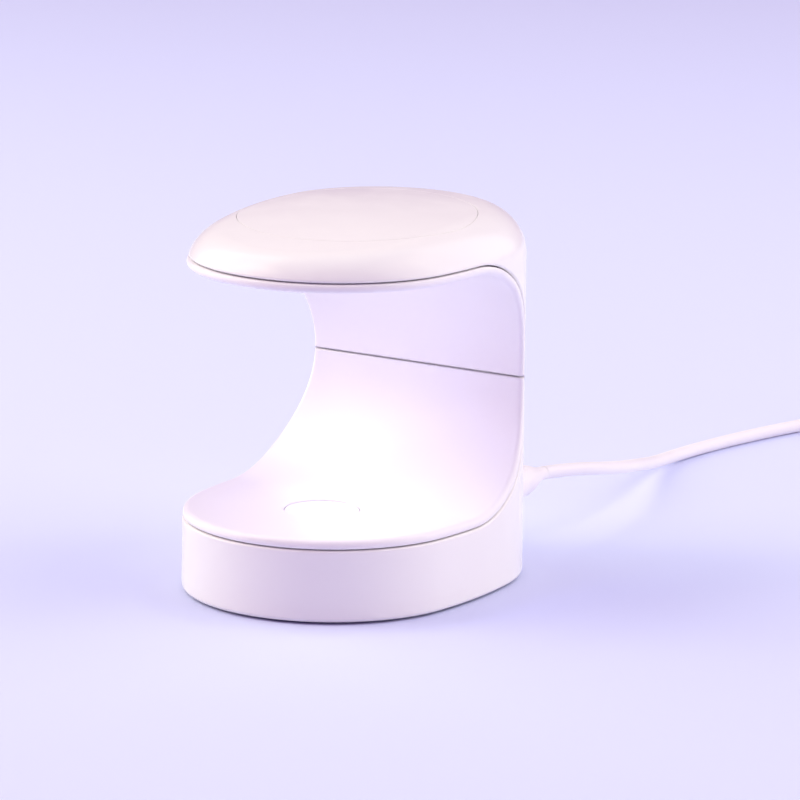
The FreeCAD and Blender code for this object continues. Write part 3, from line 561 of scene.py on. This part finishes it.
def make_shell():
    """The housing's outer skin, with its rim round the bay and the recess of its cap."""
    mesh = bmesh.new()
    lower, upper, low_rim, high_rim = [], [], [], []
    for place in SHELL_PLACES:
        station = Station(seam_along(place))
        low_rim.append([rim_point(place, radius, depth, -1) for radius, depth in SHELL_RIM])
        high_rim.append([rim_point(place, radius, depth, 1) for radius, depth in SHELL_RIM])
        seam = low_rim[-1][0]
        lower.append(bottom_rows(station) + wall_rows(station, WALL_START, seam.z)[:-1] + [seam])
        upper.append(over_seam_rows(station, high_rim[-1][0]))
    for along in BACK:
        station = Station(along)
        lower.append(bottom_rows(station) + wall_rows(station, WALL_START, BAY_MIDDLE))
        wall = wall_rows(station, BAY_MIDDLE, station.top(0).z)[:-1]
        upper.append(wall + shell_top_rows(station))
    for rows in (lower, upper, low_rim, high_rim):
        add_rows(mesh, rows)
    shell = finish_mesh("shell", mesh, "lamp")
    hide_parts("outer_shell")
    return shell


def make_cap():
    """The round disc in the top, which goes on with the crown's form."""
    mesh = bmesh.new()
    rows = []
    for along in FRONT + steps(-SIDE_END, SIDE_END, CAP_STEPS)[1:-1] + end_arc(1, END_STEPS)[::-1]:
        station = Station(along)
        last = station.cap_step(CAP_RADIUS)
        edge = station.top(last)
        onward = station.top(last + PROBE) - edge
        start = last + PROBE * CAP_ROUND / onward.length
        side = [edge - CROWN_AXIS * depth for depth in CAP_DEPTHS]
        side += rounded(edge, -CROWN_AXIS, onward.normalized(), CAP_ROUND)
        surface = [station.top(step) for step in steps(start, 2, CAP_STEPS)[1:]]
        rows.append(side + surface)
    add_rows(mesh, rows)
    cap = finish_mesh("cap", mesh, "lamp")
    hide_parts("top_cap")
    return cap


# ---- Liners ----

# Pairs of distance from the bay's middle line and depth, from the bay's wall over the lip to the back.
LINER_RIM = edge_profile((BAY_RADIUS, 0.0), (0, 1), (1, 0), LIP, LIP_STEPS)
LINER_RIM += edge_profile((LINER_BACK, 0.0), (-1, 0), (0, 1), LINER_BACK_ROUND)
# How finely the liner is divided from its middle to its edge, on the bay's side and on its back.
LINER_STEPS = (10, 6)


def across_rows(edge, count):
    """From the middle of the lamp to just before an edge point at the side, at the same height."""
    return [Vector((edge.x * share, edge.y, edge.z)) for share in steps(0, 1, count)[:-1]]


def make_liner(name, side, node):
    """One of the two pieces that line the bay: side -1 is the lower one and 1 the upper."""
    split = SPLIT + side * SPLIT_GAP / 2
    mesh = bmesh.new()
    rows = []
    for kind, amount in SHELL_PLACES:
        points = []
        for radius, depth in LINER_RIM:
            spot = (kind, amount)
            if kind == "round":
                full = math.acos((split - BAY_MIDDLE) * side / radius)
                spot = (kind, amount / (math.pi / 2) * full)
            points.append(rim_point(spot, radius, depth, side, LINER_INSET))
        front = across_rows(points[0], LINER_STEPS[0])
        back = across_rows(points[-1], LINER_STEPS[1])
        rows.append(front + points + back[::-1])
    add_rows(mesh, rows)
    liner = finish_mesh(name, mesh, "lamp", closed=True)
    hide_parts(node)
    return liner


def turned(outline, middle, count):
    """A mesh turned about an upright axis, from (radius, height) points."""
    mesh = bmesh.new()
    rings = []
    for radius, height in outline:
        ring = []
        for step in range(count):
            turn = math.tau * step / count
            spot = (middle[0] + radius * math.cos(turn), middle[1] + radius * math.sin(turn), height)
            ring.append(mesh.verts.new([value * MM for value in spot]))
        rings.append(ring)
    for ring, following in zip(rings, rings[1:]):
        for index in range(count):
            after = (index + 1) % count
            mesh.faces.new((ring[index], ring[after], following[after], following[index]))
    return mesh


def cut_away(piece, cutter_mesh):
    """Cut a tool's shape out of a piece and delete the tool."""
    bmesh.ops.remove_doubles(cutter_mesh, verts=cutter_mesh.verts, dist=CUTTER_WELD)
    open_edges = [edge for edge in cutter_mesh.edges if edge.is_boundary]
    if open_edges:
        bmesh.ops.edgeloop_fill(cutter_mesh, edges=open_edges)
    bmesh.ops.recalc_face_normals(cutter_mesh, faces=cutter_mesh.faces)
    data = bpy.data.meshes.new("cutter")
    cutter_mesh.to_mesh(data)
    cutter_mesh.free()
    cutter = bpy.data.objects.new("cutter", data)
    scene.collection.objects.link(cutter)
    modifier = piece.modifiers.new("cut", "BOOLEAN")
    modifier.object = cutter
    modifier.solver = "EXACT"
    bpy.context.view_layer.update()
    evaluated = piece.evaluated_get(bpy.context.evaluated_depsgraph_get())
    result = bpy.data.meshes.new_from_object(evaluated)
    piece.modifiers.remove(modifier)
    old = piece.data
    piece.data = result
    result.name = old.name + "_cut"
    bpy.data.meshes.remove(old)
    bpy.data.objects.remove(cutter)


def make_lower_liner():
    """The lower liner, with the button's hole."""
    liner = make_liner("lower_liner_skin", -1, "lower_liner")
    hole = BUTTON_RADIUS + BUTTON_PLAY
    floor = BAY_MIDDLE - BAY_RADIUS
    outline = (
        (0, floor - HOLE_DEPTH),
        (hole, floor - HOLE_DEPTH),
        (hole, floor - HOLE_BEVEL),
        (hole + HOLE_BEVEL, floor),
        (hole + HOLE_BEVEL + HOLE_EXCESS, floor + HOLE_EXCESS),
        (0, floor + HOLE_EXCESS),
    )
    cut_away(liner, turned(outline, (0, BUTTON_ALONG), BUTTON_STEPS))
    return liner


def make_upper_liner():
    """The upper liner, with the light window's opening."""
    liner = make_liner("upper_liner_skin", 1, "upper_liner")
    low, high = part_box("light_window")
    cutter = bmesh.new()
    bmesh.ops.create_cube(cutter, size=1)
    ceiling = (BAY_MIDDLE + BAY_RADIUS) * MM
    size = (high - low).to_2d() - Vector((WINDOW_LAP, WINDOW_LAP)) * MM
    for corner in cutter.verts:
        corner.co.x *= size.x
        corner.co.y = corner.co.y * size.y + WINDOW_ALONG * MM
        corner.co.z = corner.co.z * WINDOW_CUT * MM + ceiling
    cut_away(liner, cutter)
    return liner


def make_button():
    """The push button in the bay's floor."""
    top = BAY_MIDDLE - BAY_RADIUS - BUTTON_SINK
    crown = [(radius, top - drop) for radius, drop in BUTTON_CROWN]
    edge = Vector((BUTTON_RADIUS, 0, top))
    corner = rounded(edge, Vector((-1, 0, 0)), Vector((0, 0, -1)), BUTTON_ROUND, BUTTON_EDGE_STEPS)
    outline = crown + [(spot.x, spot.z) for spot in corner] + list(BUTTON_SHAFT)
    mesh = turned(outline, (0, BUTTON_ALONG), BUTTON_STEPS)
    button = finish_mesh("button", mesh, "button", closed=True)
    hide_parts("power_button")
    return button


def swept(radius, end_radius, start, end, count):
    """(Radius, place) pairs that blend smoothly from one radius to another."""
    blend = [0.5 - 0.5 * math.cos(math.pi * step / count) for step in range(count + 1)]
    radii = [radius + (end_radius - radius) * share for share in blend]
    return list(zip(radii, steps(start, end, count)))


def make_boot():
    """The lead's flared strain relief, turned about the line along which the lead leaves."""
    tip, end = [CORD_RADIUS / MM + play for play in BOOT_PLAY]
    outline = [(0.0, BOOT_START), (BOOT_FLARE, BOOT_START)]
    outline += swept(BOOT_FLARE, BOOT_NECK, BOOT_SHOULDER, BOOT_WAIST, FLARE_STEPS)
    outline += swept(BOOT_NECK, tip, BOOT_WAIST, BOOT_TIP, TAPER_STEPS)[1:]
    outline.append((end, CORD_EXIT[1]))
    mesh = turned(outline, (0, 0), BOOT_STEPS)
    for spot in mesh.verts:
        across, up, along = spot.co
        spot.co = (CORD_EXIT[0] * MM + across, along, CORD_EXIT[2] * MM + up)
    boot = finish_mesh("boot", mesh, "lamp", closed=True)
    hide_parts("lead_boot")
    return boot


shell = make_shell()
cap = make_cap()
lower_liner = make_lower_liner()
upper_liner = make_upper_liner()
button = make_button()
boot = make_boot()
for piece in (shell, cap, lower_liner, upper_liner, button):
    weigh_normals(piece)

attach(cord, "lamp")
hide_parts("power_cord", "cord_coil")


# ---- Finishes ----


def new_group(name, inputs, outputs):
    """An empty shader group: its inputs come with their defaults, its outputs with their types."""
    group = bpy.data.node_groups.new(name, "ShaderNodeTree")
    for socket, default in inputs:
        made = group.interface.new_socket(socket, in_out="INPUT", socket_type="NodeSocketFloat")
        made.default_value = default
    for socket, kind in outputs:
        group.interface.new_socket(socket, in_out="OUTPUT", socket_type=kind)
    return group, group.nodes.new("NodeGroupInput"), group.nodes.new("NodeGroupOutput")


# How fine the clouding, the grain and the uneven gloss are, and how strongly the grain shows.
CLOUD_SCALE = 40.0
GRAIN_SCALE = 2600.0
WEAR_SCALE = 90
CLOUD_DETAIL = 3
FINE_DETAIL = 2
GRAIN_STRENGTH = 0.5
# The part of the wear noise that is spread over the whole range of the gloss.
WEAR_RANGE = (0.35, 0.7)


def moulded_group():
    """Moulded plastic: faint clouding in the colour, uneven gloss and a very fine grain."""
    group, given, result = new_group(
        "moulded_surface",
        (
            ("Cloud Scale", CLOUD_SCALE),
            ("Grain Scale", GRAIN_SCALE),
            ("Gloss Low", 0.2),
            ("Gloss High", 0.3),
        ),
        (("Cloud", "NodeSocketFloat"), ("Roughness", "NodeSocketFloat"), ("Height", "NodeSocketFloat")),
    )
    place = group.nodes.new("ShaderNodeTexCoord")
    cloud = group.nodes.new("ShaderNodeTexNoise")
    cloud.inputs["Detail"].default_value = CLOUD_DETAIL
    grain = group.nodes.new("ShaderNodeTexNoise")
    grain.inputs["Detail"].default_value = FINE_DETAIL
    wear = group.nodes.new("ShaderNodeTexNoise")
    wear.inputs["Scale"].default_value = WEAR_SCALE
    wear.inputs["Detail"].default_value = FINE_DETAIL
    gloss = group.nodes.new("ShaderNodeMapRange")
    gloss.inputs["From Min"].default_value = WEAR_RANGE[0]
    gloss.inputs["From Max"].default_value = WEAR_RANGE[1]
    links = (
        (place.outputs["Object"], cloud.inputs["Vector"]),
        (place.outputs["Object"], grain.inputs["Vector"]),
        (place.outputs["Object"], wear.inputs["Vector"]),
        (given.outputs["Cloud Scale"], cloud.inputs["Scale"]),
        (given.outputs["Grain Scale"], grain.inputs["Scale"]),
        (given.outputs["Gloss Low"], gloss.inputs["To Min"]),
        (given.outputs["Gloss High"], gloss.inputs["To Max"]),
        (wear.outputs["Fac"], gloss.inputs["Value"]),
        (cloud.outputs["Fac"], result.inputs["Cloud"]),
        (gloss.outputs["Result"], result.inputs["Roughness"]),
        (grain.outputs["Fac"], result.inputs["Height"]),
    )
    for start, end in links:
        group.links.new(start, end)
    return group


MOULDED = moulded_group()


def moulded(name, light, dark, gloss, grain_depth, cloud_scale=CLOUD_SCALE, **values):
    """A finish from two close colours, the range of its roughness and the depth of its grain."""
    material = new_material(name, light, gloss[0], **values)
    shader = material.node_tree.nodes["Principled BSDF"]
    surface = add_node(material, "ShaderNodeGroup", node_tree=MOULDED)
    surface.inputs["Cloud Scale"].default_value = cloud_scale
    surface.inputs["Grain Scale"].default_value = GRAIN_SCALE
    surface.inputs["Gloss Low"].default_value = gloss[0]
    surface.inputs["Gloss High"].default_value = gloss[1]
    blend = add_node(material, "ShaderNodeMix", data_type="RGBA")
    blend.inputs["A"].default_value = dark
    blend.inputs["B"].default_value = light
    bump = add_node(material, "ShaderNodeBump")
    bump.inputs["Distance"].default_value = grain_depth * MM
    bump.inputs["Strength"].default_value = GRAIN_STRENGTH
    wire(material, surface.outputs["Cloud"], blend.inputs["Factor"])
    wire(material, blend.outputs["Result"], shader.inputs["Base Color"])
    wire(material, surface.outputs["Roughness"], shader.inputs["Roughness"])
    wire(material, surface.outputs["Height"], bump.inputs["Height"])
    wire(material, bump.outputs["Normal"], shader.inputs["Normal"])
    return material


def dress(piece, material):
    """Give a piece made here its only material."""
    piece.data.materials.clear()
    piece.data.materials.append(material)


def dress_node(name, material):
    """Give a node that stays its finish, and leave its mesh alone."""
    for place in nodes[name].material_slots:
        place.link = "OBJECT"
        place.material = material


shell_finish = moulded(
    "shell_plastic",
    linear(251, 250, 247),
    linear(249, 248, 245),
    (0.2, 0.27),
    0.002,
    Specular_IOR_Level=0.35,
    Coat_Weight=0.1,
    Coat_Roughness=0.1,
)
liner_finish = moulded(
    "liner_plastic",
    linear(251, 249, 250),
    linear(248, 246, 248),
    (0.28, 0.31),
    0.002,
    Specular_IOR_Level=0.35,
    Coat_Weight=0.1,
    Coat_Roughness=0.15,
)
button_finish = moulded(
    "button_plastic", linear(251, 249, 250), linear(248, 246, 248), (0.26, 0.34), 0.003
)
cover_finish = moulded(
    "cover_plastic", linear(228, 224, 230), linear(222, 218, 225), (0.5, 0.62), 0.01
)
foot_finish = moulded(
    "foot_rubber", linear(205, 203, 208), linear(196, 194, 200), (0.7, 0.85), 0.02
)
lead_finish = moulded(
    "lead_sleeve", linear(250, 247, 249), linear(246, 242, 245), (0.38, 0.48), 0.006, cloud_scale=90.0
)
switch_finish = moulded("switch_plastic", linear(40, 40, 44), linear(30, 30, 34), (0.45, 0.6), 0.01)
component_finish = moulded(
    "component_plastic", linear(52, 52, 56), linear(38, 38, 42), (0.5, 0.65), 0.01
)
cable_finish = moulded(
    "cable_sleeve", linear(226, 224, 226), linear(214, 212, 214), (0.5, 0.6), 0.01
)
board_finish = moulded(
    "circuit_board", linear(32, 112, 62), linear(24, 92, 50), (0.3, 0.42), 0.01, cloud_scale=200.0
)
lamp_board_finish = moulded(
    "white_board", linear(240, 240, 242), linear(230, 230, 234), (0.3, 0.4), 0.004
)
steel_finish = moulded(
    "plated_steel", linear(200, 200, 204), linear(176, 176, 182), (0.22, 0.36), 0.006, Metallic=1.0
)
gold_finish = moulded(
    "gold_contact", linear(226, 186, 104), linear(206, 164, 86), (0.2, 0.32), 0.004, Metallic=1.0
)


def glowing(name, colour, glow, strength, dimmer):
    """A lit plastic, whose glow varies faintly between two colours."""
    material = moulded(name, colour, colour, (0.3, 0.4), 0.002)
    shader = material.node_tree.nodes["Principled BSDF"]
    surface = next(node for node in material.node_tree.nodes if node.type == "GROUP")
    mix = add_node(material, "ShaderNodeMix", data_type="RGBA")
    mix.inputs["A"].default_value = dimmer
    mix.inputs["B"].default_value = glow
    wire(material, surface.outputs["Cloud"], mix.inputs["Factor"])
    wire(material, mix.outputs["Result"], shader.inputs["Emission Color"])
    shader.inputs["Emission Strength"].default_value = strength
    return material


window_finish = glowing(
    "lit_window", linear(244, 240, 252), linear(214, 196, 255), 0.7, linear(200, 180, 255)
)
emitter_finish = glowing(
    "emitter_lens", linear(244, 240, 215), linear(200, 180, 255), 2.0, linear(180, 160, 255)
)

for piece, material in (
    (shell, shell_finish),
    (cap, shell_finish),
    (lower_liner, liner_finish),
    (upper_liner, liner_finish),
    (button, button_finish),
    (boot, lead_finish),
    (cord, lead_finish),
):
    dress(piece, material)

NODE_FINISHES = {
    "bottom_cover": cover_finish,
    "rubber_feet": foot_finish,
    "switch_case": switch_finish,
    "switch_stem": switch_finish,
    "control_board": board_finish,
    "board_components": component_finish,
    "lamp_board": lamp_board_finish,
    "light_emitters": emitter_finish,
    "light_window": window_finish,
    "base_screws": steel_finish,
    "head_screws": steel_finish,
    "lamp_cable": cable_finish,
    "supply_cable": cable_finish,
    "usb_plug_grip": lead_finish,
    "usb_shell": steel_finish,
    "usb_tongue": switch_finish,
    "usb_contacts": gold_finish,
}
for name, material in NODE_FINISHES.items():
    dress_node(name, material)


# ---- Floor and light ----

FLOOR_SQUARES = 24
FLOOR_REACH = 6


def make_floor():
    """The wide sheet of paper that the lamp stands on."""
    mesh = bmesh.new()
    bmesh.ops.create_grid(mesh, x_segments=FLOOR_SQUARES, y_segments=FLOOR_SQUARES, size=FLOOR_REACH)
    data = bpy.data.meshes.new("floor")
    mesh.to_mesh(data)
    mesh.free()
    floor = bpy.data.objects.new("floor", data)
    scene.collection.objects.link(floor)
    paper = new_material("floor_paper", linear(218, 223, 253), 0.9, Specular_IOR_Level=0.1)
    dress(floor, paper)


def area_light(name, place, aim, size, power, colour):
    """A rectangle that shines from its place to its aim, with its size in metres and power in watts."""
    data = bpy.data.lights.new(name, "AREA")
    data.shape = "RECTANGLE"
    data.size, data.size_y = size
    data.energy = power
    data.color = colour
    light = bpy.data.objects.new(name, data)
    scene.collection.objects.link(light)
    light.matrix_world = facing(place, aim)
    return light


# Each light's name, place, aim, size, power and colour.
ROOM_LIGHTS = (
    ("left_box", (-1.25, -0.10, 0.75), (0, 0, 0.03), (1.1, 2.0), 12.2, (0.98, 1.08, 0.80)),
    ("left_front_box", (-1.05, -0.72, 0.80), (0, 0, 0.03), (0.8, 1.6), 11.6, (1.02, 0.92, 0.72)),
    ("right_box", (1.2, 0.38, 0.88), (0, 0, 0.03), (1.1, 2.0), 12.6, (1.0, 0.99, 0.74)),
    ("right_back_box", (0.75, 1.10, 0.85), (0, 0, 0.03), (1.1, 1.6), 7.8, (1.0, 1.05, 0.93)),
    ("ceiling_box", (-0.1, 0.15, 1.5), (0, 0, 0), (1.4, 1.4), 3.0, (0.72, 1.2, 1.2)),
)
# The window's own light on the bay: one light shines down on the floor and one to the back.
GLOW_PLACE = (0, -0.008, 0.0698)
GLOW_SIZE = (0.02, 0.012)
GLOW_COLOUR = (0.55, 0.57, 1.0)
GLOW_SPREAD = math.radians(110)
GLOW_LIGHTS = (("glow_down", (0, -0.010, 0), 0.0033), ("glow_back", (0, 0.022, 0.03), 0.0017))
ROOM_COLOUR = linear(236, 173, 255)
ROOM_STRENGTH = 0.378


make_floor()
world = bpy.data.worlds.new("room")
scene.world = world
world.use_nodes = True
room = world.node_tree.nodes["Background"]
room.inputs["Color"].default_value = ROOM_COLOUR
room.inputs["Strength"].default_value = ROOM_STRENGTH
for light in ROOM_LIGHTS:
    area_light(*light)
for name, aim, power in GLOW_LIGHTS:
    glow = area_light(name, GLOW_PLACE, aim, GLOW_SIZE, power, GLOW_COLOUR)
    glow.data.spread = GLOW_SPREAD
    glow.visible_glossy = False
